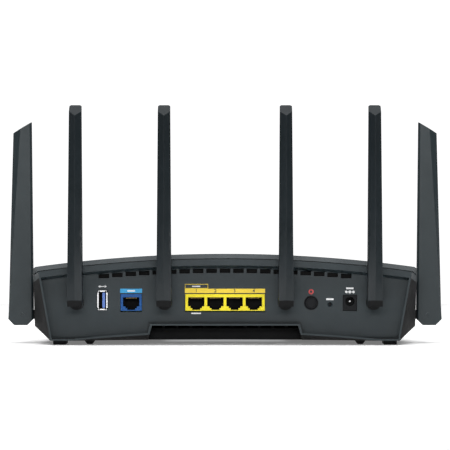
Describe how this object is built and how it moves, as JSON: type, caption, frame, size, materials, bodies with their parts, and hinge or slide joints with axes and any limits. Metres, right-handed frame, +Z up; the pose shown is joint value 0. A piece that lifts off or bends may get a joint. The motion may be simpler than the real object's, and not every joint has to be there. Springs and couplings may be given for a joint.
{
  "type": "wireless router",
  "caption": "Low wedge-shaped wireless router with a recessed socket panel under an arched hood and folding blade antennas at the rear and sides.",
  "frame": {"origin": "centre of the footprint, on the table the feet stand on", "axes": "+Z up, +X to the right seen from the front, +Y towards the socket panel at the rear"},
  "size_m": [0.3206, 0.2, 0.174],
  "materials": {
    "housing": "satin, fine grain",
    "antenna": "satin, fine grain",
    "hinge": "satin",
    "window": "smoked translucent",
    "rubber": "matt",
    "steel": "nickel plated",
    "contacts": "gold plated",
    "yellow_plastic": "moulded",
    "blue_plastic": "moulded",
    "black_plastic": "moulded",
    "board": "solder mask",
    "aluminium": "extruded",
    "lamp": "clear",
    "label": "printed film"
  },
  "bodies": {
    "base": {"top_cover": "housing", "rear_hood": "housing", "bottom_shell": "housing", "rear_panel": "housing", "feet_rear": "rubber", "feet_front": "rubber", "feet_round": "rubber", "case_screws": "steel", "label_plate": "label", "status_window": "window", "main_board": "board", "board_screws": "steel", "chips": "black_plastic", "rf_shields": "steel", "line_transformers": "black_plastic", "capacitors": "black_plastic", "heatsink": "aluminium", "led_board": "board", "status_leds": "lamp", "lan_block": "yellow_plastic", "lan_contacts": "contacts", "wan_jack": "blue_plastic", "wan_contacts": "contacts", "usb_shell": "steel", "usb_tongue": "blue_plastic", "power_inlet": "black_plastic", "inlet_pin": "steel", "button_ring": "housing", "power_switch": "black_plastic", "reset_switch": "black_plastic", "hinge_washers": "steel"},
    "swivel_rear1": {"stub_rear1": "hinge"},
    "antenna_rear1": {"blade_rear1": "antenna", "radiator_rear1": "board", "pin_rear1": "steel"},
    "swivel_rear2": {"stub_rear2": "hinge"},
    "antenna_rear2": {"blade_rear2": "antenna", "radiator_rear2": "board", "pin_rear2": "steel"},
    "swivel_rear3": {"stub_rear3": "hinge"},
    "antenna_rear3": {"blade_rear3": "antenna", "radiator_rear3": "board", "pin_rear3": "steel"},
    "swivel_rear4": {"stub_rear4": "hinge"},
    "antenna_rear4": {"blade_rear4": "antenna", "radiator_rear4": "board", "pin_rear4": "steel"},
    "swivel_left": {"stub_left": "hinge"},
    "antenna_left": {"blade_left": "antenna", "radiator_left": "board", "pin_left": "steel"},
    "swivel_right": {"stub_right": "hinge"},
    "antenna_right": {"blade_right": "antenna", "radiator_right": "board", "pin_right": "steel"},
    "power_key": {"power_button": "black_plastic"},
    "reset_key": {"reset_button": "black_plastic"}
  },
  "joints": [
    {"name": "rear1_swivel", "type": "hinge", "parent": "base", "child": "swivel_rear1", "pos_m": [-0.1081, 0.071, 0.0309], "axis": [0, 1, 0], "range_deg": [-20, 20]},
    {"name": "rear1_fold", "type": "hinge", "parent": "swivel_rear1", "child": "antenna_rear1", "pos_m": [-0.1081, 0.0906, 0.0334], "axis": [-1, 0, 0], "range_deg": [0, 90]},
    {"name": "rear2_swivel", "type": "hinge", "parent": "base", "child": "swivel_rear2", "pos_m": [-0.044, 0.071, 0.0309], "axis": [0, 1, 0], "range_deg": [-20, 20]},
    {"name": "rear2_fold", "type": "hinge", "parent": "swivel_rear2", "child": "antenna_rear2", "pos_m": [-0.044, 0.0906, 0.0334], "axis": [-1, 0, 0], "range_deg": [0, 90]},
    {"name": "rear3_swivel", "type": "hinge", "parent": "base", "child": "swivel_rear3", "pos_m": [0.044, 0.071, 0.0309], "axis": [0, 1, 0], "range_deg": [-20, 20]},
    {"name": "rear3_fold", "type": "hinge", "parent": "swivel_rear3", "child": "antenna_rear3", "pos_m": [0.044, 0.0906, 0.0334], "axis": [-1, 0, 0], "range_deg": [0, 90]},
    {"name": "rear4_swivel", "type": "hinge", "parent": "base", "child": "swivel_rear4", "pos_m": [0.1081, 0.071, 0.0309], "axis": [0, 1, 0], "range_deg": [-20, 20]},
    {"name": "rear4_fold", "type": "hinge", "parent": "swivel_rear4", "child": "antenna_rear4", "pos_m": [0.1081, 0.0906, 0.0334], "axis": [-1, 0, 0], "range_deg": [0, 90]},
    {"name": "left_swivel", "type": "hinge", "parent": "base", "child": "swivel_left", "pos_m": [-0.1395, 0.036, 0.021], "axis": [1, 0, 0], "range_deg": [-90, 90]},
    {"name": "left_fold", "type": "hinge", "parent": "swivel_left", "child": "antenna_left", "pos_m": [-0.1494, 0.036, 0.021], "axis": [0, -1, 0], "range_deg": [0, 90]},
    {"name": "right_swivel", "type": "hinge", "parent": "base", "child": "swivel_right", "pos_m": [0.1395, 0.036, 0.021], "axis": [1, 0, 0], "range_deg": [-90, 90]},
    {"name": "right_fold", "type": "hinge", "parent": "swivel_right", "child": "antenna_right", "pos_m": [0.1494, 0.036, 0.021], "axis": [0, 1, 0], "range_deg": [0, 90]},
    {"name": "power_press", "type": "slide", "parent": "base", "child": "power_key", "axis": [0, -1, 0], "range_m": [0, 0.002], "stiffness_N_per_m": 600, "springref_m": -0.001},
    {"name": "reset_press", "type": "slide", "parent": "base", "child": "reset_key", "axis": [0, -1, 0], "range_m": [0, 0.0007], "stiffness_N_per_m": 600, "springref_m": -0.001}
  ]
}
